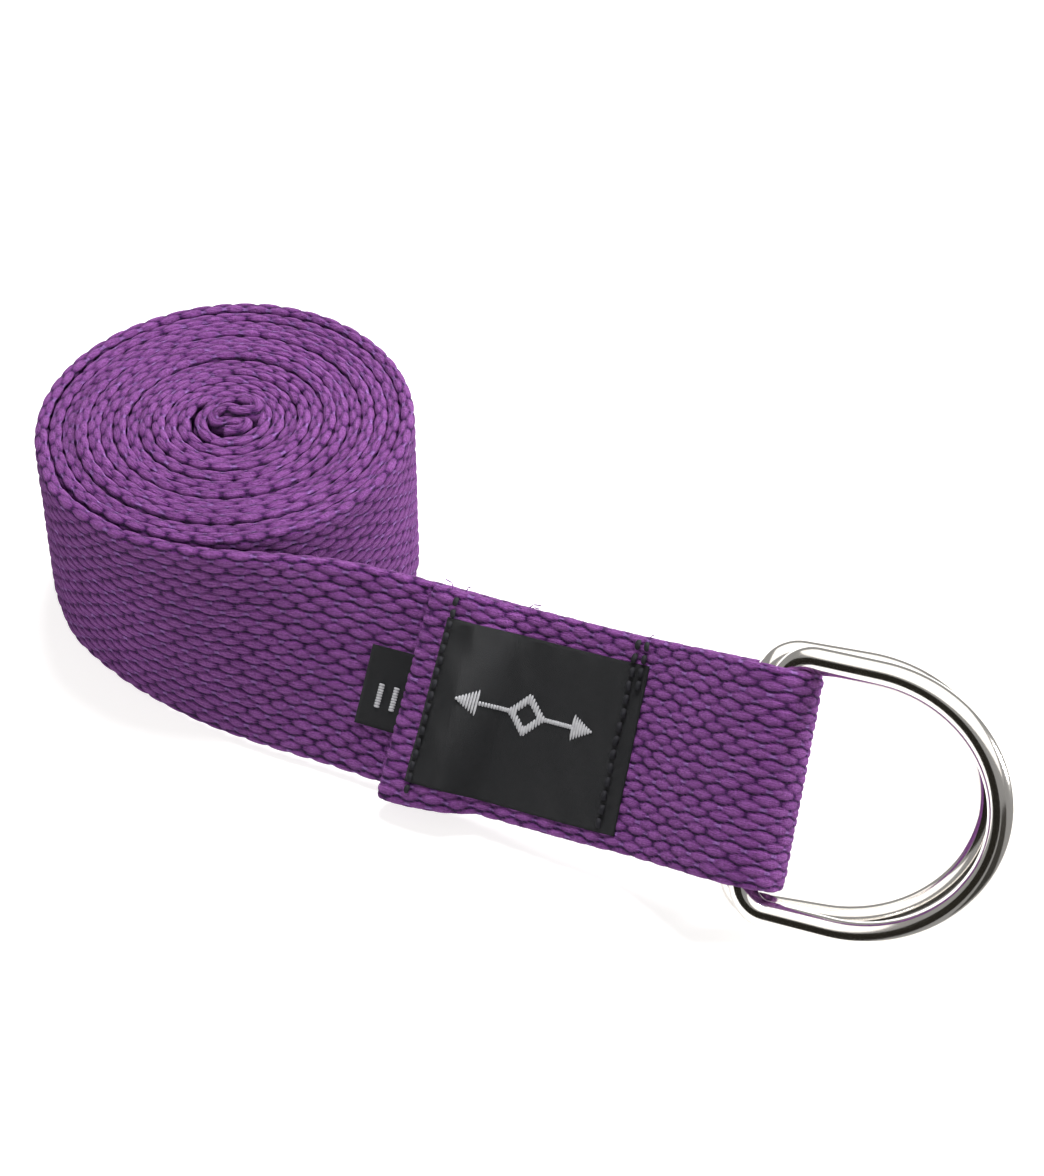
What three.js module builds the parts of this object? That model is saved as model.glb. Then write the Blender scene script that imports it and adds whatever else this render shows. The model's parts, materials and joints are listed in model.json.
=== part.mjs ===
// A stretching strap with two D-rings, rolled up and standing on its edge.
// Millimetres, +Z up. The strap is one length of cotton webbing. Its free end is in the middle of the roll.
// The other end leaves the roll, leans back, passes through two D-rings and folds back over itself,
// where a label, a small tab and two rows of stitching hold it.
import * as THREE from 'three';

// Webbing
const WIDTH = 38;
const THICKNESS = 2.1;
const LAYER_GAP = 0.3;
const PITCH = THICKNESS + LAYER_GAP;

// Roll: a spiral about the Z axis, with its radii measured to the middle of the webbing
const CORE_RADIUS = 6.2;
const ROLL_RADIUS = 34.65;
const LEAVES_AT = THREE.MathUtils.degToRad(195);
const ROLL_STEP = THREE.MathUtils.degToRad(15);

// Lower edge of the strap from the roll to the rings: x, y, height above the floor, lean in degrees
const LOWER_EDGE = [
  [-33.5, -9.0, 0, 0],
  [-28.9, -19.8, 0, -1],
  [-18.1, -31.6, 0, 1],
  [-5.0, -41.5, 0, 10],
  [7.0, -48.0, 0, 22],
  [19.2, -53.4, 0.1, 32],
  [35.0, -60.8, 0.2, 41],
  [52.0, -68.5, 1.0, 43],
  [69.3, -76.5, 2.7, 43.5],
  [85.1, -83.4, 4.7, 43],
  [99.6, -88.8, 5.8, 42.5],
];

// Places along the lower edge
const ROW_LEFT = 90.3;
const ROW_SPACING = 35.6;
const HEM_WIDTH = 6;
const HEM_TUCK = 10;
const HEM_SLOPE = 9;
const FOLD_TO_ROW = 34.3;
const ROW_RIGHT = ROW_LEFT + ROW_SPACING;
const FOLD = ROW_RIGHT + FOLD_TO_ROW;
const HEM = ROW_LEFT - HEM_WIDTH;

// D-rings: round wire bent to a straight bar, two legs and an arc, measured to the middle of the wire
const WIRE_RADIUS = 2.4;
const RING_HALF_WIDTH = 22.3;
const RING_DEPTH = 41.9;
const RING_CORNER = 4.2;
const RING_ARC_DEPTH = 25.2;
const WIRE_SIDES = 12;
const BAR_CLEARANCE = 0.4;
const BAR_STEP_BACK = 4.1;
const BAR_STEP_IN = 3.1;
const RING_SHIFT = -0.4;
const FRONT_RING_TILT = THREE.MathUtils.degToRad(7);
const REAR_RING_TILT = THREE.MathUtils.degToRad(-20);

// Loop round the bars, measured from the middle of the rear layer
const REAR_BAR_HEIGHT = THICKNESS / 2 + BAR_CLEARANCE + WIRE_RADIUS;
const FRONT_BAR_HEIGHT = REAR_BAR_HEIGHT + BAR_STEP_BACK;
const FRONT_LAYER_AT_BAR = FRONT_BAR_HEIGHT + WIRE_RADIUS + BAR_CLEARANCE + THICKNESS / 2;
const FOLD_REACH = 5.2;
const FOLD_CENTRE = FOLD - THICKNESS / 2 - FOLD_REACH;

// Label, tab and stitching
const LABEL = { from: ROW_LEFT - 0.9, to: ROW_RIGHT + 3.2, low: 2.8, high: 33.0, thickness: 0.5 };
const TAB = { from: HEM - 9, to: HEM + 3.2, low: 9.6, high: 24.4, thickness: 0.5 };
const TAB_HEIGHT = THICKNESS / 2 + LAYER_GAP + 0.1 + TAB.thickness / 2;
const TUCK_HEIGHT = TAB_HEIGHT + TAB.thickness / 2 + LAYER_GAP + THICKNESS / 2;
const THREAD = { width: 0.8, thin: 0.45, thick: 0.8, stitch: 3.2, steps: 4 };

const PURPLE = new THREE.MeshStandardMaterial({ color: 0x6a2c80, roughness: 0.9, metalness: 0 });
const BLACK_SATIN = new THREE.MeshStandardMaterial({ color: 0x141517, roughness: 0.55, metalness: 0 });
const BLACK_THREAD = new THREE.MeshStandardMaterial({ color: 0x0e0e12, roughness: 0.7, metalness: 0 });
const PURPLE_THREAD = new THREE.MeshStandardMaterial({ color: 0x7d3f95, roughness: 0.7, metalness: 0 });
const NICKEL = new THREE.MeshStandardMaterial({ color: 0xc9c5be, roughness: 0.15, metalness: 1 });

const edge = new THREE.CatmullRomCurve3(LOWER_EDGE.map(([x, y, z]) => new THREE.Vector3(x, y, z)));
const lean = new THREE.CatmullRomCurve3(LOWER_EDGE.map((row, i) => new THREE.Vector3(i, row[3], 0)));
edge.arcLengthDivisions = 2000;
const EDGE_LENGTH = edge.getLength();

// The strap's own axes at a place along its lower edge: along, up its width, and out of its front face
function stripFrame(place) {
  const u = THREE.MathUtils.clamp(place / EDGE_LENGTH, 0, 1);
  const along = edge.getTangentAt(u);
  const back = new THREE.Vector3(-along.y, along.x, 0).normalize();
  const upright = new THREE.Vector3().crossVectors(along, back);
  const angle = THREE.MathUtils.degToRad(lean.getPoint(edge.getUtoTmapping(u)).y);
  const up = upright.clone().multiplyScalar(Math.cos(angle)).addScaledVector(back, Math.sin(angle));
  const out = upright.clone().multiplyScalar(Math.sin(angle)).addScaledVector(back, -Math.cos(angle));
  const low = edge.getPointAt(u);
  low.z += Math.abs(Math.sin(angle)) * THICKNESS / 2;
  low.addScaledVector(along, place - u * EDGE_LENGTH);
  return { low, along, up, out };
}

function stripPoint(place, height, out) {
  const f = stripFrame(place);
  return f.low.addScaledVector(f.up, height).addScaledVector(f.out, out);
}

// Joins rings of points into one closed body: each ring to the next, and then either back to the first or capped
function loft(rings, closed = false) {
  const count = rings[0].length;
  const positions = rings.flat().flatMap((p) => [p.x, p.y, p.z]);
  const index = [];
  const last = closed ? rings.length : rings.length - 1;
  for (let i = 0; i < last; i++) {
    const a = i * count;
    const b = ((i + 1) % rings.length) * count;
    for (let j = 0; j < count; j++) {
      const k = (j + 1) % count;
      index.push(a + j, b + k, b + j, a + j, a + k, b + k);
    }
  }
  if (!closed) {
    const end = (rings.length - 1) * count;
    for (let j = 1; j < count - 1; j++) {
      index.push(0, j + 1, j);
      index.push(end, end + j, end + j + 1);
    }
  }
  const geometry = new THREE.BufferGeometry();
  geometry.setAttribute('position', new THREE.Float32BufferAttribute(positions, 3));
  geometry.setIndex(index);
  geometry.computeVertexNormals();
  return geometry;
}

function mesh(name, geometry, material) {
  const piece = new THREE.Mesh(geometry, material);
  piece.name = name;
  return piece;
}

// A band that follows points given as (place along the strap, distance out of the rear layer)
function bandAlong(path, low, high, thickness) {
  const rings = path.map(([place, out], i) => {
    const before = path[Math.max(i - 1, 0)];
    const after = path[Math.min(i + 1, path.length - 1)];
    const length = Math.hypot(after[0] - before[0], after[1] - before[1]);
    const across = [-(after[1] - before[1]) / length, (after[0] - before[0]) / length];
    const corner = (height, side) =>
      stripPoint(place + across[0] * side * thickness / 2, height, out + across[1] * side * thickness / 2);
    return [corner(low, 1), corner(low, -1), corner(high, -1), corner(high, 1)];
  });
  return loft(rings);
}

function places(from, to, step) {
  const count = Math.max(1, Math.round(Math.abs(to - from) / step));
  return Array.from({ length: count + 1 }, (_, i) => from + (to - from) * i / count);
}

function smooth(x) {
  const t = THREE.MathUtils.clamp(x, 0, 1);
  return t * t * (3 - 2 * t);
}

function webbingRoll() {
  const turns = (ROLL_RADIUS - CORE_RADIUS) / PITCH;
  const steps = Math.round(turns * 2 * Math.PI / ROLL_STEP);
  const rings = [];
  for (let i = 0; i <= steps; i++) {
    const back = i * ROLL_STEP;
    const angle = LEAVES_AT - back;
    const radius = ROLL_RADIUS - PITCH * back / (2 * Math.PI);
    const point = (side, z) => {
      const r = radius + side * THICKNESS / 2;
      return new THREE.Vector3(r * Math.cos(angle), r * Math.sin(angle), z);
    };
    rings.push([point(-1, 0), point(1, 0), point(1, WIDTH), point(-1, WIDTH)]);
  }
  return mesh('webbing_roll', loft(rings), PURPLE);
}

function webbingRun() {
  const path = places(LAYER_GAP, HEM - 2, 3).map((place) => [place, 0]);
  return mesh('webbing_run', bandAlong(path, 0, WIDTH, THICKNESS), PURPLE);
}

// Distance of the folded-back layer from the rear layer
function frontLayer(place) {
  const atHem = TUCK_HEIGHT + PITCH;
  const afterHem = PITCH + smooth((HEM + HEM_TUCK + HEM_SLOPE - place) / HEM_SLOPE) * (atHem - PITCH);
  const overBars = smooth((place - ROW_RIGHT - 2) / (FOLD_CENTRE - ROW_RIGHT - 2));
  return afterHem + overBars * (FRONT_LAYER_AT_BAR - PITCH);
}

// The rear layer, the fold round the bars, the folded-back front layer and its end turned under as a hem
function webbingLoop() {
  const rear = places(HEM - 2 + LAYER_GAP, FOLD_CENTRE, 2.5).map((place) => [place, 0]);
  const half = FRONT_LAYER_AT_BAR / 2;
  const fold = places(-75, 75, 15).map((degrees) => {
    const a = THREE.MathUtils.degToRad(degrees);
    return [FOLD_CENTRE + FOLD_REACH * Math.cos(a), half + half * Math.sin(a)];
  });
  const turn = PITCH / 2;
  const front = places(FOLD_CENTRE, HEM + turn + THICKNESS / 2, 2.5).map((place) => [place, frontLayer(place)]);
  const hem = places(75, -75, 30).map((degrees) => {
    const a = THREE.MathUtils.degToRad(degrees);
    return [HEM + turn + THICKNESS / 2 - turn * Math.cos(a), TUCK_HEIGHT + turn + turn * Math.sin(a)];
  });
  const tuck = places(HEM + turn + THICKNESS / 2, HEM + HEM_TUCK - 1, 3).map((place) => [place, TUCK_HEIGHT]);
  const path = [...rear, ...fold, ...front, ...hem, ...tuck];
  return mesh('webbing_loop', bandAlong(path, 0, WIDTH, THICKNESS), PURPLE);
}

function mainLabel() {
  const lift = THICKNESS / 2 + LAYER_GAP + LABEL.thickness / 2;
  const path = places(LABEL.from, LABEL.to, 2.5).map((place) => {
    const slope = (frontLayer(place + 0.5) - frontLayer(place - 0.5));
    return [place, frontLayer(place) + lift * Math.hypot(1, slope) + 0.1 * Math.abs(slope)];
  });
  return mesh('main_label', bandAlong(path, LABEL.low, LABEL.high, LABEL.thickness), BLACK_SATIN);
}

function sizeTab() {
  const path = places(TAB.from, TAB.to, 3).map((place) => [place, TAB_HEIGHT]);
  return mesh('size_tab', bandAlong(path, TAB.low, TAB.high, TAB.thickness), BLACK_SATIN);
}

// One row of stitches: a thread that lies thick on the face in each stitch and thin between two stitches
function stitchRow(name, place, low, high, under) {
  const rings = places(low, high, THREAD.stitch / THREAD.steps).map((height, i) => {
    const phase = (i % THREAD.steps) / THREAD.steps;
    const thick = THREAD.thin + (THREAD.thick - THREAD.thin) * Math.sin(Math.PI * phase);
    const corner = (side, out) => stripPoint(place + side * THREAD.width / 2, height, under + out);
    return [corner(-1, 0), corner(-1, thick), corner(1, thick), corner(1, 0)];
  });
  return mesh(name, loft(rings), BLACK_THREAD);
}

function labelStitches() {
  const onLabel = THICKNESS / 2 + 2 * LAYER_GAP + LABEL.thickness;
  const top = WIDTH - 0.6;
  return [
    stitchRow('label_stitch_left', ROW_LEFT, 0.6, top, frontLayer(ROW_LEFT) + onLabel + 0.1),
    stitchRow('label_stitch_right', ROW_RIGHT, 3.4, top, frontLayer(ROW_RIGHT) + onLabel),
  ];
}

// A row across the hem of the free end, on the inner face of the innermost turn
function freeEndStitch() {
  const turns = (ROLL_RADIUS - CORE_RADIUS) / PITCH;
  const angle = LEAVES_AT - turns * 2 * Math.PI + THREE.MathUtils.degToRad(55);
  const radius = CORE_RADIUS + PITCH * 55 / 360 - THICKNESS / 2 - LAYER_GAP - 0.2;
  const along = new THREE.Vector3(-Math.sin(angle), Math.cos(angle), 0);
  const inward = new THREE.Vector3(-Math.cos(angle), -Math.sin(angle), 0);
  const rings = places(1, WIDTH - 1, THREAD.stitch / THREAD.steps).map((height, i) => {
    const phase = (i % THREAD.steps) / THREAD.steps;
    const thick = THREAD.thin + (THREAD.thick - THREAD.thin) * Math.sin(Math.PI * phase);
    const corner = (side, out) =>
      new THREE.Vector3(0, 0, height)
        .addScaledVector(inward, out - radius)
        .addScaledVector(along, side * THREAD.width / 2);
    return [corner(-1, 0), corner(1, 0), corner(1, thick), corner(-1, thick)];
  });
  return mesh('free_end_stitch', loft(rings), PURPLE_THREAD);
}

// Middle line of a ring: x along its bar, y away from the bar
function ringOutline() {
  const a = RING_HALF_WIDTH;
  const c = RING_CORNER;
  const points = places(-(a - c), a - c, 5).map((x) => [x, 0]);
  for (const angle of places(15, 90, 15)) {
    const t = THREE.MathUtils.degToRad(angle);
    points.push([a - c + c * Math.sin(t), c - c * Math.cos(t)]);
  }
  const start = RING_DEPTH - RING_ARC_DEPTH;
  for (const angle of places(0, 180, 7.5)) {
    const t = THREE.MathUtils.degToRad(angle);
    points.push([a * Math.cos(t), start + RING_ARC_DEPTH * Math.sin(t)]);
  }
  for (const angle of places(90, 15, 15)) {
    const t = THREE.MathUtils.degToRad(angle);
    points.push([-(a - c) - c * Math.sin(t), c - c * Math.cos(t)]);
  }
  return points;
}

// Round wire along the outline, in the plane X (bar), Y (depth), with Z out of that plane
function ringGeometry() {
  const outline = ringOutline();
  const rings = outline.map(([x, y], i) => {
    const before = outline[(i + outline.length - 1) % outline.length];
    const after = outline[(i + 1) % outline.length];
    const side = new THREE.Vector3(after[1] - before[1], before[0] - after[0], 0).normalize();
    return Array.from({ length: WIRE_SIDES }, (_, k) => {
      const t = -(k + 0.5) * 2 * Math.PI / WIRE_SIDES;
      return new THREE.Vector3(x, y, WIRE_RADIUS * Math.sin(t)).addScaledVector(side, WIRE_RADIUS * Math.cos(t));
    });
  });
  return loft(rings, true);
}

// A ring with its bar in the loop, turned about that bar
function dRing(name, place, height, tilt) {
  const f = stripFrame(FOLD_CENTRE);
  const centre = f.low.clone()
    .addScaledVector(f.along, place - FOLD_CENTRE)
    .addScaledVector(f.up, WIDTH / 2 + RING_SHIFT)
    .addScaledVector(f.out, height);
  const away = f.along.clone().multiplyScalar(Math.cos(tilt)).addScaledVector(f.out, Math.sin(tilt));
  const normal = new THREE.Vector3().crossVectors(f.up, away);
  const ring = mesh(name, ringGeometry(), NICKEL);
  ring.matrix.makeBasis(f.up, away, normal).setPosition(centre);
  ring.matrix.decompose(ring.position, ring.quaternion, ring.scale);
  return ring;
}

const strap = new THREE.Group();
strap.add(webbingRoll(), webbingRun(), webbingLoop(), mainLabel(), sizeTab(), ...labelStitches(), freeEndStitch());
strap.add(dRing('d_ring_front', FOLD_CENTRE, FRONT_BAR_HEIGHT, FRONT_RING_TILT));
strap.add(dRing('d_ring_rear', FOLD_CENTRE - BAR_STEP_IN, REAR_BAR_HEIGHT, REAR_RING_TILT));

// The origin is the middle of the strap's box, on the floor
const box = new THREE.Box3().setFromObject(strap, true);
const middle = box.getCenter(new THREE.Vector3());
strap.position.set(-middle.x, -middle.y, -box.min.z);

export default strap;
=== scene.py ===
"""Looks of the stretching strap: woven webbing, label, tab, stitching and D-rings.

Lengths are in millimetres, in the frame of the roll's axis, until place() turns them into the row frame.
"""
import json
import math

import bpy
import numpy as np
from mathutils import Matrix, Vector


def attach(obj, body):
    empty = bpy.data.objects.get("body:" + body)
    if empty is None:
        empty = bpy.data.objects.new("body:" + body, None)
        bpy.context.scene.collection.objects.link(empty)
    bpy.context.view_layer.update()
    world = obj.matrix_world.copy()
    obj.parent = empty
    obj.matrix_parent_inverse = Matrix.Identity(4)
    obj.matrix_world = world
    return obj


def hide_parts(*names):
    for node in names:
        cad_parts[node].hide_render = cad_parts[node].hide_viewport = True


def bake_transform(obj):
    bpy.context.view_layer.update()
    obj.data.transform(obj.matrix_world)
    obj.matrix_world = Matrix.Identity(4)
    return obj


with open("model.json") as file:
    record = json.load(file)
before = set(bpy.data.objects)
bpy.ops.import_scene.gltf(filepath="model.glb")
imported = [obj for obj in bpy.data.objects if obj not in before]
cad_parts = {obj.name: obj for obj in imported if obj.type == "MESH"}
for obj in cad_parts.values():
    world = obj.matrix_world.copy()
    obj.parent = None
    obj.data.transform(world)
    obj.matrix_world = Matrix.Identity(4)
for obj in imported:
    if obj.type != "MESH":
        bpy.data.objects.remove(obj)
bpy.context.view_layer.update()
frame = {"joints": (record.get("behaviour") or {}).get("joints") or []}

MM = 0.001

# Webbing, as in the CAD model
WIDTH = 38.0
THICKNESS = 2.1
LAYER_GAP = 0.3
PITCH = THICKNESS + LAYER_GAP
CORE_RADIUS = 6.2
ROLL_RADIUS = 34.65
LEAVES_AT = math.radians(195)
TURNS = (ROLL_RADIUS - CORE_RADIUS) / PITCH
FREE_END_TURN = math.radians(55)

# Lower edge of the strap from the roll to the rings: x, y, height, lean in degrees
LOWER_EDGE = np.array([
    (-33.5, -9.0, 0, 0),
    (-28.9, -19.8, 0, -1),
    (-18.1, -31.6, 0, 1),
    (-5.0, -41.5, 0, 10),
    (7.0, -48.0, 0, 22),
    (19.2, -53.4, 0.1, 32),
    (35.0, -60.8, 0.2, 41),
    (52.0, -68.5, 1.0, 43),
    (69.3, -76.5, 2.7, 43.5),
    (85.1, -83.4, 4.7, 43),
    (99.6, -88.8, 5.8, 42.5),
])

ROW_LEFT = 90.3
ROW_RIGHT = ROW_LEFT + 35.6
FOLD = ROW_RIGHT + 34.3
HEM = ROW_LEFT - 6
HEM_TUCK = 10
HEM_SLOPE = 9

WIRE_RADIUS = 2.4
RING_HALF_WIDTH = 21.95
RING_DEPTH = 41.9
RING_CORNER = 5.4
RING_ARC_DEPTH = 25.2
BAR_CLEARANCE = 0.4
BAR_STEP_BACK = 4.1
BAR_STEP_IN = 3.1
FRONT_RING_SHIFT = -0.8
REAR_RING_SHIFT = -0.5
FRONT_RING_TILT = math.radians(7)
REAR_RING_TILT = math.radians(-20)
FRONT_RING_SKEW = math.radians(0.8)
REAR_RING_SKEW = math.radians(-0.9)
REAR_BAR_HEIGHT = THICKNESS / 2 + BAR_CLEARANCE + WIRE_RADIUS
FRONT_BAR_HEIGHT = REAR_BAR_HEIGHT + BAR_STEP_BACK
FRONT_LAYER_AT_BAR = FRONT_BAR_HEIGHT + WIRE_RADIUS + BAR_CLEARANCE + THICKNESS / 2
FOLD_REACH = 5.2
FOLD_CENTRE = FOLD - THICKNESS / 2 - FOLD_REACH
LABEL_THICKNESS = 0.5
LABEL_FROM = ROW_LEFT - 0.9
LABEL_TO = ROW_RIGHT + 3.2
LABEL_LOW = 2.8
LABEL_HIGH = 33.0
TAB_FROM = HEM - 9
TAB_LENGTH = 12.2
TAB_LOW = 9.6
TAB_WIDTH = 14.8
TAB_HEIGHT = THICKNESS / 2 + LAYER_GAP + 0.1 + LABEL_THICKNESS / 2
TUCK_HEIGHT = TAB_HEIGHT + LABEL_THICKNESS / 2 + LAYER_GAP + THICKNESS / 2

# Weave: pairs of rows of grains along the strap, each row shifted half a grain from the next
GRAIN = 4.4
FACE_ROWS = 24
EDGE_ROWS = 2
ALL_ROWS = 2 * (FACE_ROWS + EDGE_ROWS)
BULGE = 0.13
BASE_HALF = 0.86
FACE_RELIEF = 0.62
EDGE_RELIEF = 0.5
EDGE_ROUNDING = 0.72
EDGE_SAMPLES = 12
# Samples per row on a face, and the step along the webbing: fine where seen, coarse inside the roll
FINE = 6
STEP = 0.32
OUTER_BACK = 0.5
INNER_FACE = 0.12
INNER_STEP = 0.42

# Stitches and the woven marks on the label and the tab
STITCH_TOP = 37.8
MOTIF_PITCH = 0.5
ARROW_HALF = 13.2
ARROW_HEAD = 4.2
SHAFT_HALF = 0.42
DIAMOND_OUTER = 4.0
DIAMOND_HOLE = 2.1
BAR_WIDTH = 1.1

RING_SIDES = 28

rng = np.random.default_rng(11)

swing = next(joint for joint in frame["joints"] if joint["name"] == "tail_swing")
SWING_PIVOT = (19.0, -45.0)
SHIFT = np.array([
    swing["pos_m"][0] / MM - SWING_PIVOT[0],
    swing["pos_m"][1] / MM - SWING_PIVOT[1],
    0.0,
])


def place(points):
    """Millimetres about the roll's axis to metres in the row frame."""
    return (np.asarray(points, float) + SHIFT) * MM


def smooth(x):
    t = np.clip(x, 0, 1)
    return t * t * (3 - 2 * t)


def unit(v):
    return v / np.linalg.norm(v, axis=-1, keepdims=True)


# ---------------------------------------------------------------- the strap's path

def catmull_rom(points, samples):
    """Centripetal Catmull-Rom curve through points, sampled evenly in its parameter."""
    points = np.asarray(points, float)
    first = 2 * points[0] - points[1]
    last = 2 * points[-1] - points[-2]
    p = np.vstack([first, points, last])
    t = np.linspace(0, len(points) - 1, samples)
    i = np.minimum(t.astype(int), len(points) - 2)
    w = (t - i)[:, None]
    a, b, c, d = p[i], p[i + 1], p[i + 2], p[i + 3]
    pairs = ((b, a), (c, b), (d, c))
    d0, d1, d2 = (np.sqrt(np.linalg.norm(q - r, axis=1))[:, None] for q, r in pairs)
    m1 = ((b - a) / d0 - (c - a) / (d0 + d1) + (c - b) / d1) * d1
    m2 = ((c - b) / d1 - (d - b) / (d1 + d2) + (d - c) / d2) * d1
    return b + m1 * w + (-3 * b + 3 * c - 2 * m1 - m2) * w ** 2 + (2 * b - 2 * c + m1 + m2) * w ** 3


EDGE = catmull_rom(LOWER_EDGE[:, :3], 8001)
LEAN = catmull_rom([(i, lean, 0) for i, lean in enumerate(LOWER_EDGE[:, 3])], 8001)[:, 1]
EDGE_PLACE = np.concatenate([[0], np.cumsum(np.linalg.norm(np.diff(EDGE, axis=0), axis=1))])
EDGE_LENGTH = EDGE_PLACE[-1]
EDGE_ALONG = unit(np.gradient(EDGE, axis=0))


def along_edge(values, u):
    return np.stack([np.interp(u, EDGE_PLACE, values[:, k]) for k in range(values.shape[1])], -1)


def strip(where):
    """Lower edge point and the strap's axes at places along it: along, up its width, out of its face."""
    where = np.atleast_1d(np.asarray(where, float))
    u = np.clip(where, 0, EDGE_LENGTH)
    along = unit(along_edge(EDGE_ALONG, u))
    back = unit(np.stack([-along[:, 1], along[:, 0], np.zeros(len(u))], -1))
    upright = np.cross(along, back)
    angle = np.radians(np.interp(u, EDGE_PLACE, LEAN))[:, None]
    up = upright * np.cos(angle) + back * np.sin(angle)
    out = upright * np.sin(angle) - back * np.cos(angle)
    low = along_edge(EDGE, u)
    low[:, 2] += np.abs(np.sin(angle[:, 0])) * THICKNESS / 2
    return low + along * (where - u)[:, None], along, up, out


def strip_point(where, height, out):
    low, _, up, face = strip(where)
    return low + up * np.reshape(height, (-1, 1)) + face * np.reshape(out, (-1, 1))


def front_layer(where):
    """Distance of the folded-back layer from the rear layer."""
    at_hem = TUCK_HEIGHT + PITCH
    after_hem = PITCH + smooth((HEM + HEM_TUCK + HEM_SLOPE - where) / HEM_SLOPE) * (at_hem - PITCH)
    over_bars = smooth((where - ROW_RIGHT - 2) / (FOLD_CENTRE - ROW_RIGHT - 2))
    return after_hem + over_bars * (FRONT_LAYER_AT_BAR - PITCH)


def resample(path, step):
    """Points at equal distances along a line of points."""
    path = np.asarray(path, float)
    run = np.concatenate([[0], np.cumsum(np.linalg.norm(np.diff(path, axis=0), axis=1))])
    at = np.linspace(0, run[-1], max(2, round(run[-1] / step) + 1))
    return np.stack([np.interp(at, run, path[:, k]) for k in range(path.shape[1])], -1), at


# ---------------------------------------------------------------- meshes

def make_mesh(name, points, quads, material, values=None, uv=None):
    """A smooth mesh object from points in the row frame, with values kept per point for the material."""
    mesh = bpy.data.meshes.new(name)
    mesh.from_pydata([tuple(p) for p in points], [], [tuple(q) for q in quads])
    mesh.polygons.foreach_set("use_smooth", np.ones(len(mesh.polygons), bool))
    for key, value in (values or {}).items():
        layer = mesh.attributes.new(key, "FLOAT", "POINT")
        layer.data.foreach_set("value", np.asarray(value, np.float32).ravel())
    if uv is not None:
        corners = np.empty(len(mesh.loops), np.int32)
        mesh.loops.foreach_get("vertex_index", corners)
        layer = mesh.uv_layers.new(name="UVMap")
        layer.data.foreach_set("uv", np.asarray(uv, np.float32)[corners].ravel())
    mesh.materials.append(material)
    mesh.update()
    obj = bpy.data.objects.new(name, mesh)
    bpy.context.collection.objects.link(obj)
    return obj


def tube_quads(rings, count, closed=False):
    """Quads that join rings of count points each, with flat ends unless closed."""
    i, j = np.meshgrid(np.arange(rings if closed else rings - 1), np.arange(count), indexing="ij")
    k = (j + 1) % count
    a, b = i * count, (i + 1) % rings * count
    quads = np.stack([a + j, a + k, b + k, b + j], -1).reshape(-1, 4).tolist()
    if not closed:
        quads.append(list(range(count))[::-1])
        quads.append([(rings - 1) * count + n for n in range(count)])
    return quads


def scatter(row, grain):
    """A repeatable number from 0 to 1 for each grain of the weave."""
    x = np.sin(row * 127.1 + grain * 311.7) * 43758.5453
    return x - np.floor(x)


def weave(row_place, run):
    """Relief from 0 to 1, place across the yarn and bare weft between grains, for points of the weave.

    A grain bulges where the grains of the next rows have their ends, so the lines between rows are
    wavy. Two rows make one cord: the line between them is shallow, and the line between two cords is
    a deep groove.
    """
    slow = 0.10 * np.sin(0.23 * run + 0.21 * row_place)
    fast = 0.05 * np.sin(0.71 * run + 1.3 * row_place)
    place_now = row_place + slow + fast
    by_row = 0.07 * np.sin(0.9 * row_place + 0.05 * run)
    by_run = 0.05 * np.sin(0.35 * row_place + 0.37 * run)
    phase = run / GRAIN + by_row + by_run
    line = np.floor(place_now + 0.5)
    wave = BULGE * np.cos(2 * np.pi * phase) * np.where(line % 2 == 0, -1, 1)
    row = np.where(place_now > line + wave, line, line - 1)
    second = row % 2
    middle = phase + 0.5 * second + 0.5
    grain = np.floor(middle)
    along = 2 * (middle - grain) - 1
    across = (place_now - row - 0.5) / (0.5 + BULGE * np.cos(np.pi * along))
    to_mate = across * (1 - 2 * second)
    kept = row % ALL_ROWS
    crown = np.clip(1 - np.abs(1.12 * along) ** 2.6, 0, 1) ** 0.6
    crown = crown * (0.82 + 0.3 * scatter(kept, grain))
    cord = np.clip(1 - np.clip(-to_mate, 0, 1) ** 2.6, 0, 1) ** 0.6
    cord = cord * (1 - 0.45 * np.clip(to_mate, 0, 1) ** 3)
    relief = cord * (0.42 + 0.58 * crown)
    chance = scatter(kept, grain + 0.3 + (along > 0))
    weft = smooth((np.abs(along) - 0.70) / 0.12)
    weft = weft * smooth((0.45 - np.abs(across + 0.2 * (1 - second))) / 0.2)
    weft = weft * (chance > 0.25 + 0.35 * second)
    return np.maximum(relief, 0.66 * weft), across, weft


def section(front, back):
    """Cross-section of the webbing: height, out, their relief directions, the place in rows and the relief.

    front and back are the samples per row on the two faces.
    The order is lower edge, back, upper edge, front.
    """
    parts = []
    flat = 2 * (BASE_HALF - EDGE_ROUNDING)
    quarter = math.pi / 2 * EDGE_ROUNDING

    def edge(height, side, first_row):
        """Round the lower edge (side -1) front to back, or the upper edge (side 1) back to front."""
        for f in np.arange(EDGE_SAMPLES) / EDGE_SAMPLES:
            run = f * (flat + 2 * quarter)
            angle = min(run, quarter) / EDGE_ROUNDING + max(0, run - quarter - flat) / EDGE_ROUNDING
            slide = np.clip(run - quarter, 0, flat) - flat / 2
            normal = (math.sin(angle), math.cos(angle))
            parts.append((
                height + side * EDGE_ROUNDING * (normal[0] - 1),
                -side * (EDGE_ROUNDING * normal[1] - slide),
                side * normal[0], -side * normal[1], first_row + EDGE_ROWS * f, EDGE_RELIEF))

    def face(side, start, end, first_row, per_row):
        count = max(2, round(FACE_ROWS * per_row))
        for f in np.arange(count) / count:
            parts.append((
                start + (end - start) * f, side * BASE_HALF,
                0, side, first_row + FACE_ROWS * f, FACE_RELIEF))

    low, high = EDGE_RELIEF, WIDTH - EDGE_RELIEF
    edge(low, -1, 0)
    face(-1, low + EDGE_ROUNDING, high - EDGE_ROUNDING, EDGE_ROWS, back)
    edge(high, 1, EDGE_ROWS + FACE_ROWS)
    face(1, high - EDGE_ROUNDING, low + EDGE_ROUNDING, 2 * EDGE_ROWS + FACE_ROWS, front)
    return np.array(parts)


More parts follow.
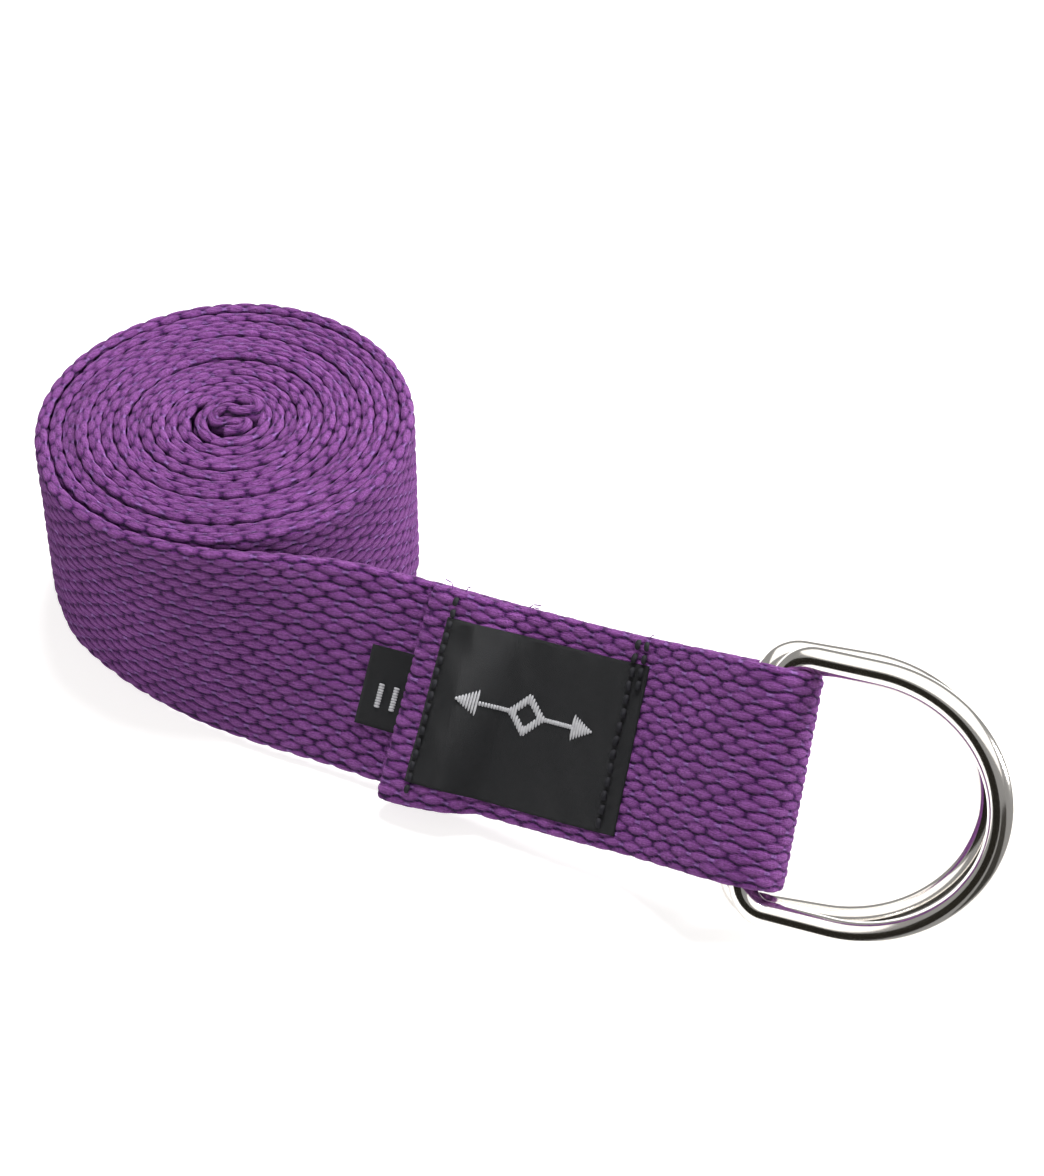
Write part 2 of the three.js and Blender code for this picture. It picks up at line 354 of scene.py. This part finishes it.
def woven(name, lows, ups, outs, runs, material, front=FINE, back=FINE, slip=None):
    """Webbing along a line of lower edge points, with its width and face directions and the run at each."""
    height, out, d_height, d_out, rows, amount = section(front, back).T
    relief, ply, weft = weave(rows[None, :], runs[:, None])
    grown = relief * amount
    h = height + grown * d_height
    o = out + grown * d_out
    if slip is not None:
        h = h + slip(height[None, :])
    points = lows[:, None] + ups[:, None] * h[..., None] + outs[:, None] * o[..., None]
    count = len(height)
    uv = np.stack(np.broadcast_arrays(runs[:, None] * 0.1, rows[None, :] * 0.27), -1).reshape(-1, 2)
    values = {"relief": relief, "ply": ply, "weft": weft}
    return make_mesh(name, place(points.reshape(-1, 3)), tube_quads(len(runs), count), material, values, uv)


# ---------------------------------------------------------------- materials

def node(tree, kind, **settings):
    made = tree.nodes.new(kind)
    for key, value in settings.items():
        if key in made.inputs:
            made.inputs[key].default_value = value
        else:
            setattr(made, key, value)
    return made


def math_node(tree, operation, a, b=None):
    made = tree.nodes.new("ShaderNodeMath")
    made.operation = operation
    for socket, value in zip(made.inputs, (a, b)):
        if isinstance(value, (int, float)):
            socket.default_value = value
        elif value is not None:
            tree.links.new(value, socket)
    return made.outputs[0]


def mix_colour(tree, factor, a, b, blend="MIX"):
    made = tree.nodes.new("ShaderNodeMix")
    made.data_type = "RGBA"
    made.blend_type = blend
    for socket, value in zip((made.inputs[0], made.inputs[6], made.inputs[7]), (factor, a, b)):
        if isinstance(value, (int, float, tuple)):
            socket.default_value = value
        else:
            tree.links.new(value, socket)
    return made.outputs[2]


def new_material(name, **settings):
    material = bpy.data.materials.new(name)
    material.use_nodes = True
    shader = material.node_tree.nodes["Principled BSDF"]
    for key, value in settings.items():
        shader.inputs[key.replace("_", " ")].default_value = value
    return material, material.node_tree, shader


def noise(tree, vector, scale, detail=3.0):
    made = node(tree, "ShaderNodeTexNoise", Scale=scale, Detail=detail, Roughness=0.6)
    tree.links.new(vector, made.inputs["Vector"])
    return made.outputs["Fac"]


def stretched(tree, vector, scale):
    made = node(tree, "ShaderNodeMapping")
    made.inputs["Scale"].default_value = scale
    tree.links.new(vector, made.inputs["Vector"])
    return made.outputs["Vector"]


def ramp(tree, value, stops):
    made = tree.nodes.new("ShaderNodeValToRGB")
    while len(made.color_ramp.elements) < len(stops):
        made.color_ramp.elements.new(0.5)
    for element, (position, colour) in zip(made.color_ramp.elements, stops):
        element.position = position
        element.color = (*colour, 1)
    tree.links.new(value, made.inputs["Fac"])
    return made.outputs["Color"]


def bump(tree, shader, height, distance, strength=1.0):
    made = node(tree, "ShaderNodeBump", Strength=strength, Distance=distance)
    tree.links.new(height, made.inputs["Height"])
    tree.links.new(made.outputs["Normal"], shader.inputs["Normal"])


def webbing_material():
    material, tree, shader = new_material(
        "webbing", Roughness=0.97, Specular_IOR_Level=0.05, Sheen_Weight=0.12, Sheen_Roughness=0.5)
    shader.inputs["Sheen Tint"].default_value = (0.86, 0.6, 0.95, 1)
    relief = node(tree, "ShaderNodeAttribute", attribute_name="relief").outputs["Fac"]
    ply = node(tree, "ShaderNodeAttribute", attribute_name="ply").outputs["Fac"]
    weft = node(tree, "ShaderNodeAttribute", attribute_name="weft").outputs["Fac"]
    coords = tree.nodes.new("ShaderNodeTexCoord")
    fibre = noise(tree, stretched(tree, coords.outputs["UV"], (11, 36, 1)), 1.0, 5)
    fuzz = noise(tree, coords.outputs["Object"], 2100, 4)
    patches = noise(tree, coords.outputs["Object"], 55, 2)
    # Painted shade: the colour follows the relief, nearly black in the deep grooves between cords and under
    # the grains' edges, and lightest on the grains' crowns, where light falls.
    colour = ramp(tree, relief, [
        (0.0, (0.006, 0.001, 0.014)),
        (0.38, (0.038, 0.006, 0.064)),
        (0.64, (0.140, 0.034, 0.178)),
        (1.0, (0.225, 0.070, 0.268)),
    ])
    colour = mix_colour(tree, math_node(tree, "MULTIPLY", weft, 0.8), colour, (0.33, 0.16, 0.47, 1))
    streaks = math_node(tree, "MULTIPLY", fibre, 1.7)
    shade = math_node(tree, "ADD", streaks, math_node(tree, "MULTIPLY", patches, 0.4))
    shade = math_node(tree, "ADD", shade, math_node(tree, "MULTIPLY", fuzz, 0.9))
    shade = math_node(tree, "SUBTRACT", shade, 0.52)
    combined = node(tree, "ShaderNodeCombineColor")
    for socket in combined.inputs[:3]:
        tree.links.new(shade, socket)
    colour = mix_colour(tree, 1.0, colour, combined.outputs[0], "MULTIPLY")
    tree.links.new(colour, shader.inputs["Base Color"])
    strands = math_node(tree, "SINE", math_node(tree, "MULTIPLY", ply, 8.0))
    twist = math_node(tree, "MULTIPLY", strands, 0.35)
    height = math_node(tree, "ADD", twist, math_node(tree, "MULTIPLY", fibre, 2.6))
    height = math_node(tree, "ADD", height, math_node(tree, "MULTIPLY", fuzz, 2.2))
    bump(tree, shader, height, 0.00026, 1.0)
    return material


def label_material():
    material, tree, shader = new_material("label", Roughness=0.6, Specular_IOR_Level=0.22)
    coords = tree.nodes.new("ShaderNodeTexCoord")
    wave = node(tree, "ShaderNodeTexWave", Scale=1.0, Distortion=0.6, Detail=1.0)
    wave.inputs["Detail Scale"].default_value = 3.0
    wave.bands_direction = "DIAGONAL"
    tree.links.new(stretched(tree, coords.outputs["UV"], (0.52, 0.52, 1)), wave.inputs["Vector"])
    patches = noise(tree, coords.outputs["Object"], 90, 3)
    colour = mix_colour(tree, wave.outputs["Fac"], (0.004, 0.004, 0.005, 1), (0.019, 0.020, 0.022, 1))
    tree.links.new(colour, shader.inputs["Base Color"])
    height = math_node(tree, "ADD", wave.outputs["Fac"], math_node(tree, "MULTIPLY", patches, 1.4))
    bump(tree, shader, height, 0.0001, 0.9)
    return material


def thread_material(name, dark, light, rough):
    material, tree, shader = new_material(name, Roughness=rough, Specular_IOR_Level=0.25)
    coords = tree.nodes.new("ShaderNodeTexCoord")
    grain = noise(tree, coords.outputs["Object"], 1500, 3)
    tree.links.new(mix_colour(tree, grain, dark, light), shader.inputs["Base Color"])
    bump(tree, shader, grain, 0.0001, 0.8)
    return material


def nickel_material():
    material, tree, shader = new_material("nickel", Metallic=1.0, Roughness=0.13)
    coords = tree.nodes.new("ShaderNodeTexCoord")
    cloud = noise(tree, coords.outputs["Object"], 140, 3)
    colour = mix_colour(tree, cloud, (0.74, 0.705, 0.66, 1), (0.88, 0.855, 0.815, 1))
    tree.links.new(colour, shader.inputs["Base Color"])
    bump(tree, shader, cloud, 0.00005, 0.12)
    return material


WEBBING = webbing_material()
LABEL = label_material()
BLACK_THREAD = thread_material("black_thread", (0.003, 0.003, 0.004, 1), (0.017, 0.017, 0.022, 1), 0.75)
MOTIF_THREAD = thread_material("motif_thread", (0.24, 0.24, 0.25, 1), (0.50, 0.50, 0.52, 1), 0.6)
PURPLE_THREAD = thread_material("purple_thread", (0.10, 0.02, 0.14, 1), (0.26, 0.08, 0.34, 1), 0.8)
NICKEL = nickel_material()


# ---------------------------------------------------------------- webbing

def spiral(back):
    """Lower middle line of the rolled webbing and its outward direction, back from where it leaves."""
    angle = LEAVES_AT - back
    radius = ROLL_RADIUS - PITCH * back / (2 * math.pi)
    settled = smooth(back / 2.0)
    facing = np.cos(angle - math.radians(135))
    radius = radius - 1.1 * settled * np.clip(facing, 0, 1) ** 4 * (radius / ROLL_RADIUS) ** 2
    turn = back / (2 * math.pi)
    height = settled * (0.30 * np.sin(2.3 * turn + 0.5) + 0.22 * np.sin(5.1 * turn))
    middle = np.stack([radius * np.cos(angle), radius * np.sin(angle), height], -1)
    outward = np.stack([np.cos(angle), np.sin(angle), np.zeros(len(back))], -1)
    return middle, outward


def roll_run(back):
    """Place along the webbing at an angle back along the spiral: 0 where it leaves, negative inside."""
    k = PITCH / (2 * math.pi)
    return -(ROLL_RADIUS * back - k * back ** 2 / 2)


def roll_piece(name, first, last, step, front, back_face):
    count = max(2, round((roll_run(first) - roll_run(last)) / step))
    back = np.linspace(last, first, count + 1)
    middle, outward = spiral(back)
    up = np.tile([0.0, 0.0, 1.0], (len(back), 1))
    return woven(name, middle, up, outward, roll_run(back), WEBBING, front, back_face)


def webbing_roll():
    whole = TURNS * 2 * math.pi
    outer = roll_piece("webbing_outer_turn", 0.0, 2 * math.pi, STEP, FINE, OUTER_BACK)
    inner = roll_piece("webbing_inner_turns", 2 * math.pi, whole, INNER_STEP, INNER_FACE, INNER_FACE)
    return outer, inner


def core_path():
    """Lower edge of the free end, curled into the roll's middle, and the length along it."""
    whole = TURNS * 2 * math.pi
    start, _ = spiral(np.array([whole]))
    ahead, _ = spiral(np.array([whole - 0.15]))
    x, y = start[0, :2]
    line = [
        (*ahead[0, :2], 0.0), (x, y, 0.1), (-4.7, -2.6, 0.2), (-4.8, 0.6, 0.4), (-2.6, 3.6, 1.0),
        (1.2, 4.2, 1.8), (4.7, 3.0, 2.2), (5.2, 0.9, 2.0), (2.6, 0.5, 2.2), (-0.4, 1.6, 1.8),
        (-2.4, 1.0, 1.0), (-2.2, -0.9, 0.5), (0.4, -1.0, 0.8), (3.3, -1.3, 0.9), (2.6, -3.1, 0.6),
        (-0.4, -3.0, 0.4),
    ]
    return resample(catmull_rom(line, 400), 0.35)


def core_end():
    curve, run = core_path()
    along = unit(np.gradient(curve[:, :2], axis=0))
    outward = -np.stack([-along[:, 1], along[:, 0], np.zeros(len(run))], -1)
    up = np.tile([0.0, 0.0, 1.0], (len(run), 1))
    place_along = roll_run(TURNS * 2 * math.pi) - run
    return woven("webbing_free_end", curve, up, -outward, place_along, WEBBING, 2, 2)


def webbing_run():
    where = np.linspace(0, HEM - 2, round((HEM - 2) / STEP) + 1)
    low, _, up, out = strip(where)
    return woven("webbing_tail_run", low, up, out, where, WEBBING)


def loop_path():
    """The rear layer, the fold, the front layer, the hem and the end tucked in, as (place, out)."""
    half = FRONT_LAYER_AT_BAR / 2
    fold = np.radians(np.linspace(-90, 90, 61))
    front = np.linspace(FOLD_CENTRE, HEM + PITCH / 2 + THICKNESS / 2, 200)
    turn = PITCH / 2
    hem = np.radians(np.linspace(90, -90, 31))
    return np.vstack([
        [(HEM - 2, 0), (FOLD_CENTRE - 0.5, 0)],
        np.stack([FOLD_CENTRE + FOLD_REACH * np.cos(fold), half + half * np.sin(fold)], -1),
        np.stack([front, front_layer(front)], -1)[1:],
        np.stack([
            HEM + turn + THICKNESS / 2 - turn * np.cos(hem),
            TUCK_HEIGHT + turn + turn * np.sin(hem),
        ], -1),
        [(HEM + HEM_TUCK - 1, TUCK_HEIGHT)],
    ])


def webbing_loop():
    path, run = resample(loop_path(), STEP)
    step = unit(np.gradient(path, axis=0))
    low, along, up, out = strip(path[:, 0])
    low = low + out * path[:, 1:]
    face = along * -step[:, 1:] + out * step[:, :1]
    on_front = smooth((path[:, 1:] - 2) / 2) * smooth((HEM + 26 - path[:, :1]) / 24)

    def slip(height):
        """How far the sewn end reaches below the strap's lower edge, most at the hem."""
        return -2.0 * on_front * (1 - height / WIDTH) ** 2

    return woven("webbing_sewn_loop", low, up, face, HEM - 2 + run, WEBBING, 2, FINE, slip)


# ---------------------------------------------------------------- label, tab and stitches

def cloth(name, where, heights, out, thickness, material, material_scale=10.0):
    """A thin piece of cloth on the strap, with rounded borders; out gives its middle's distance."""
    w, h = np.meshgrid(where, heights, indexing="ij")
    shape = w.shape
    border = np.minimum.reduce([w - where[0], where[-1] - w, h - heights[0], heights[-1] - h])
    half = thickness / 2 * (0.35 + 0.65 * smooth(border / 0.5))
    middle = out(w, h)
    faces = [strip_point(w.ravel(), h.ravel(), (middle + side * half).ravel()) for side in (1, -1)]
    n = w.size
    index = np.arange(n).reshape(shape)
    top = np.stack([index[:-1, :-1], index[1:, :-1], index[1:, 1:], index[:-1, 1:]], -1).reshape(-1, 4)
    rim = np.concatenate([index[:-1, 0], index[-1, :-1], index[:0:-1, -1], index[0, :0:-1]])
    after = np.roll(rim, -1)
    wall = np.stack([rim, rim + n, after + n, after], -1)
    quads = np.vstack([top, top[:, ::-1] + n, wall])
    uv = np.stack([w, h], -1).reshape(-1, 2) * material_scale
    return make_mesh(name, place(np.vstack(faces)), quads.tolist(), material, None, np.vstack([uv, uv]))


def label_lift(w, h):
    slope = front_layer(w + 0.5) - front_layer(w - 0.5)
    lift = THICKNESS / 2 + LAYER_GAP + LABEL_THICKNESS / 2
    ripple = 0.10 * np.sin(w * 0.43 + 1.1) * np.sin(h * 0.31) + 0.06 * np.sin(w * 0.9 + h * 0.5)
    return front_layer(w) + lift * np.hypot(1, slope) + ripple


def main_label():
    where = np.linspace(LABEL_FROM, LABEL_TO, 140)
    heights = np.linspace(LABEL_LOW, LABEL_HIGH, 110)
    return cloth("main_label_cloth", where, heights, label_lift, LABEL_THICKNESS, LABEL)


def size_tab():
    where = np.linspace(TAB_FROM, TAB_FROM + TAB_LENGTH, 50)
    heights = np.linspace(TAB_LOW, TAB_LOW + TAB_WIDTH, 60)
    return cloth("size_tab_cloth", where, heights, lambda w, h: TAB_HEIGHT + 0 * w, LABEL_THICKNESS, LABEL)


def capsules(name, segments, radius, material, sides=8, flatten=0.75):
    """Short threads, each given as start, end and outward direction, that bulge between their ends."""
    points, quads = [], []
    stations = np.array([0, 0.06, 0.2, 0.5, 0.8, 0.94, 1])
    girth = np.array([0.12, 0.62, 0.96, 1.0, 0.96, 0.62, 0.12])
    for start, end, out in segments:
        start, end, out = (np.asarray(v, float) for v in (start, end, out))
        axis = unit(end - start)
        out = unit(out - axis * (out @ axis))
        side = np.cross(axis, out)
        base = len(points)
        for f, g in zip(stations, girth):
            centre = start + (end - start) * f + out * radius * 0.7 * math.sin(math.pi * f)
            for k in range(sides):
                a = 2 * math.pi * k / sides
                points.append(centre + radius * g * (side * math.cos(a) + out * math.sin(a) * flatten))
        quads += [[base + n for n in quad] for quad in tube_quads(len(stations), sides)]
    return make_mesh(name, place(np.array(points)), quads, material)


def stitch_row(name, where, heights, out_of, radius, wobble):
    """Stitches up the strap's width, from each height to the next with a small gap."""
    segments = []
    for a, b in zip(heights[:-1], heights[1:]):
        gap = 0.12 * (b - a)
        side = rng.normal(0, wobble, 2)
        at = where + side
        p = strip_point(at, np.array([a + gap, b - gap]), out_of(at))
        segments.append((p[0], p[1], strip(at[0])[3][0]))
    return capsules(name, segments, radius, BLACK_THREAD)


def stitches():
    top_of_label = THICKNESS / 2 + LAYER_GAP + LABEL_THICKNESS

    def surface(at):
        return front_layer(at) + top_of_label + 0.05

    rows = (
        ("label_stitches_left", ROW_LEFT, 0.5, 2.15, 0.5, 0.12),
        ("label_stitches_right", ROW_RIGHT, 3.2, 2.45, 0.52, 0.14),
        ("label_stitches_doubled", ROW_RIGHT + 1.9, 28.2, 2.3, 0.48, 0.16),
    )
    return [
        stitch_row(name, where, np.arange(first, STITCH_TOP, length), surface, radius, wobble)
        for name, where, first, length, radius, wobble in rows
    ]


def free_end_stitches():
    """The row of stitches across the hem of the free end, inside the innermost turn."""
    angle = LEAVES_AT - TURNS * 2 * math.pi + FREE_END_TURN
    outward = np.array([math.cos(angle), math.sin(angle), 0])
    turn_radius = CORE_RADIUS + PITCH * FREE_END_TURN / (2 * math.pi)
    middle = outward * (turn_radius - THICKNESS / 2 - LAYER_GAP - 0.2)
    segments = [
        (middle + (0, 0, low + 0.2), middle + (0, 0, low + 3.0), -outward)
        for low in np.arange(1.0, 35.0, 3.2)
    ]
    return capsules("free_end_stitches", segments, 0.4, PURPLE_THREAD)


def on_label(where, height):
    """A point on the label's face and the direction out of it."""
    where, height = np.atleast_1d(where).astype(float), np.atleast_1d(height).astype(float)
    point = strip_point(where, height, label_lift(where, height) + LABEL_THICKNESS / 2)
    return point[0], strip(where)[3][0]


def label_motif():
    """A double-headed arrow through a diamond, woven in pale satin bars."""
    segments = []
    middle, height = ROW_LEFT + 17.5, 19.5
    for x in np.arange(-ARROW_HALF, ARROW_HALF + 0.1, MOTIF_PITCH):
        distance = abs(x)
        shaft = distance <= ARROW_HALF - ARROW_HEAD
        head = SHAFT_HALF if shaft else 2.5 * np.clip((ARROW_HALF - distance) / ARROW_HEAD, 0, 1)
        outer = max(head, DIAMOND_OUTER - distance)
        hole = DIAMOND_HOLE - distance
        spans = [(-outer, outer)] if hole <= 0.2 else [(-outer, -hole), (hole, outer)]
        for low, high in spans:
            if high - low < 0.3:
                continue
            start, out = on_label(middle + x, height + low)
            end, _ = on_label(middle + x, height + high)
            segments.append((start, end, out))
    return capsules("main_label_motif", segments, 0.25, MOTIF_THREAD, flatten=0.4)


def tab_motif():
    """Two short woven bars on the tab."""
    segments = []
    for first in (HEM - 6.2, HEM - 3.4):
        for height in np.arange(13.6, 17.9, MOTIF_PITCH):
            ends = [first, first + BAR_WIDTH]
            points = strip_point(ends, [height, height], TAB_HEIGHT + LABEL_THICKNESS / 2)
            segments.append((points[0], points[1], strip(first)[3][0]))
    return capsules("size_tab_motif", segments, 0.24, MOTIF_THREAD, flatten=0.4)


def stray_fibres():
    """Loose ends of yarn along the upper edge, near the ends of the stitch rows."""
    segments = []
    fibres = (
        (ROW_LEFT - 1.6, WIDTH - 0.3, -1.3, 1.6),
        (ROW_LEFT + 12.0, WIDTH - 0.2, 1.9, 1.1),
        (ROW_LEFT + 12.6, WIDTH - 0.2, 1.3, 0.4),
        (ROW_LEFT + 0.6, WIDTH - 0.2, 0.7, 1.3),
        (ROW_RIGHT + 1.2, WIDTH - 0.3, 0.8, 0.7),
    )
    for where, height, side, rise in fibres:
        low, along, up, out = (v[0] for v in strip([where]))
        start = low + up * (height - 0.4) + out * float(front_layer(where))
        middle = start + along * side * 0.55 + up * (0.5 + rise * 0.7) + out * 0.3
        end = start + along * side * 1.5 + up * (0.4 + rise) + out * 0.9
        segments += [(start, middle, out), (middle, end, out)]
    return capsules("loose_fibres", segments, 0.11, PURPLE_THREAD, flatten=1.0)


def main():
    outer, inner = webbing_roll()
    end = core_end()
    end_stitches = free_end_stitches()
    run = webbing_run()
    loop = webbing_loop()
    label = main_label()
    tab = size_tab()
    left, right, doubled = stitches()
    motif, bars, fibres = label_motif(), tab_motif(), stray_fibres()
    for obj in (outer, inner, end):
        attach(obj, "roll")
        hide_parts("webbing_roll")
    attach(end_stitches, "roll")
    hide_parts("free_end_stitch")
    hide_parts("webbing_run")
    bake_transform(run)
    tail_pieces = (
        (loop, "webbing_loop", "webbing"),
        (label, "main_label", "label"),
        (tab, "size_tab", "label"),
        (left, "label_stitch_left", "black_thread"),
        (right, "label_stitch_right", "black_thread"),
        (doubled, "label_stitch_right", "black_thread"),
        (motif, "main_label", "label"),
        (bars, "size_tab", "label"),
        (fibres, "webbing_loop", "webbing"),
    )
    for obj, name, slot in tail_pieces:
        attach(obj, "tail")
        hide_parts(name)


# ---------------------------------------------------------------- D-rings

def ring_outline():
    a, c = RING_HALF_WIDTH, RING_CORNER
    corner = np.radians(np.linspace(0, 90, 13))[1:]
    arc = np.radians(np.linspace(0, 180, 61))
    bar = np.linspace(-(a - c), a - c, 12)
    start = RING_DEPTH - RING_ARC_DEPTH
    leg = np.linspace(c, start, 5)[1:-1]
    points = [(x, 0) for x in bar]
    points += [(a - c + c * math.sin(t), c - c * math.cos(t)) for t in corner]
    points += [(a, y) for y in leg]
    points += [(a * math.cos(t), start + RING_ARC_DEPTH * math.sin(t)) for t in arc]
    points += [(-a, y) for y in leg[::-1]]
    points += [(-(a - c) - c * math.sin(t), c - c * math.cos(t)) for t in corner[::-1]]
    return np.array(points)


def d_ring(name, at, height, shift, tilt, skew):
    outline = ring_outline()
    tangent = unit(np.roll(outline, -1, 0) - np.roll(outline, 1, 0))
    side = np.stack([tangent[:, 1], -tangent[:, 0]], -1)
    low, along, up, out = (v[0] for v in strip([FOLD_CENTRE]))
    centre = low + along * (at - FOLD_CENTRE) + up * (WIDTH / 2 + shift) + out * height
    away = along * math.cos(tilt) + out * math.sin(tilt)
    normal = np.cross(up, away)
    cos, sin = math.cos(skew), math.sin(skew)
    up, away = up * cos + away * sin, away * cos - up * sin
    points = []
    for (x, y), (sx, sy) in zip(outline, side):
        for k in range(RING_SIDES):
            a = -2 * math.pi * k / RING_SIDES
            px, py = x + WIRE_RADIUS * math.cos(a) * sx, y + WIRE_RADIUS * math.cos(a) * sy
            points.append(centre + up * px + away * py + normal * WIRE_RADIUS * math.sin(a))
    quads = tube_quads(len(outline), RING_SIDES, True)
    return make_mesh(name, place(np.array(points)), quads, NICKEL)


def rings():
    front = d_ring(
        "d_ring_front_wire", FOLD_CENTRE, FRONT_BAR_HEIGHT, FRONT_RING_SHIFT, FRONT_RING_TILT,
        FRONT_RING_SKEW)
    rear = d_ring(
        "d_ring_rear_wire", FOLD_CENTRE - BAR_STEP_IN, REAR_BAR_HEIGHT, REAR_RING_SHIFT, REAR_RING_TILT,
        REAR_RING_SKEW)
    for obj, body, name in ((front, "front_ring", "d_ring_front"), (rear, "rear_ring", "d_ring_rear")):
        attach(obj, body)
        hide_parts(name)


# ---------------------------------------------------------------- stage, light and camera

def facing(location, target):
    """Rotation that turns a light, or a plane's back, from a location to a target."""
    return (Vector(target) - Vector(location)).to_track_quat("-Z", "Y").to_euler()


def stage_plane(name, size, location, rotation, colour, emission=0.0):
    bpy.ops.mesh.primitive_plane_add(size=size, location=location, rotation=rotation)
    plane = bpy.context.object
    plane.name = name
    material, _, shader = new_material(name, Roughness=1.0, Specular_IOR_Level=0.0)
    shader.inputs["Base Color"].default_value = (*colour, 1)
    shader.inputs["Emission Color"].default_value = (1, 0.985, 0.965, 1)
    shader.inputs["Emission Strength"].default_value = emission
    plane.data.materials.append(material)
    return plane


def card(name, size, location, emission):
    """A dark or lit card that is seen only in the polished rings."""
    rotation = facing(location, (0.06, -0.05, 0.03))
    plane = stage_plane(name, size, location, rotation, (0.01, 0.009, 0.007), emission)
    plane.visible_camera = False
    plane.visible_diffuse = False
    plane.visible_shadow = False


def area_light(name, location, target, size, power):
    light = bpy.data.lights.new(name, "AREA")
    light.shape = "DISK"
    light.size = size
    light.energy = power
    obj = bpy.data.objects.new(name, light)
    obj.location = location
    obj.rotation_euler = facing(location, target)
    bpy.context.collection.objects.link(obj)
    return obj


def studio():
    stage_plane("floor", 6.0, (0, 0, -0.0005), (0, 0, 0), (0.5, 0.5, 0.5), 0.74)
    card("dark_front", 0.44, (0.14, -0.58, 0.30), 0.03)
    card("dark_left", 0.64, (-0.46, -0.34, 0.25), 0.0)
    card("bright_top", 1.9, (0.1, 0.3, 1.15), 1.5)
    world = bpy.data.worlds.new("studio")
    world.use_nodes = True
    world.node_tree.nodes["Background"].inputs["Color"].default_value = (1, 1, 1, 1)
    world.node_tree.nodes["Background"].inputs["Strength"].default_value = 0.33
    bpy.context.scene.world = world
    area_light("key", (0.05, 0.3, 0.85), (-0.02, 0, 0.02), 0.3, 10.0)
    area_light("side", (0.85, 0.1, 0.45), (0, 0, 0.02), 0.25, 12.0)
    fill = area_light("fill", (-0.2, -0.8, 0.5), (0, 0, 0.02), 0.4, 2.6)
    fill.visible_glossy = False


def camera():
    data = bpy.data.cameras.new("camera")
    data.sensor_fit = "HORIZONTAL"
    data.sensor_width = 36
    data.lens = 102.17
    obj = bpy.data.objects.new("camera", data)
    obj.location = place((54.8, -425.4, 391.4))
    obj.rotation_euler = (math.radians(46.99), 0, 0)
    bpy.context.collection.objects.link(obj)
    bpy.context.scene.camera = obj


main()
rings()
studio()
camera()
bpy.context.scene.view_settings.view_transform = "Standard"
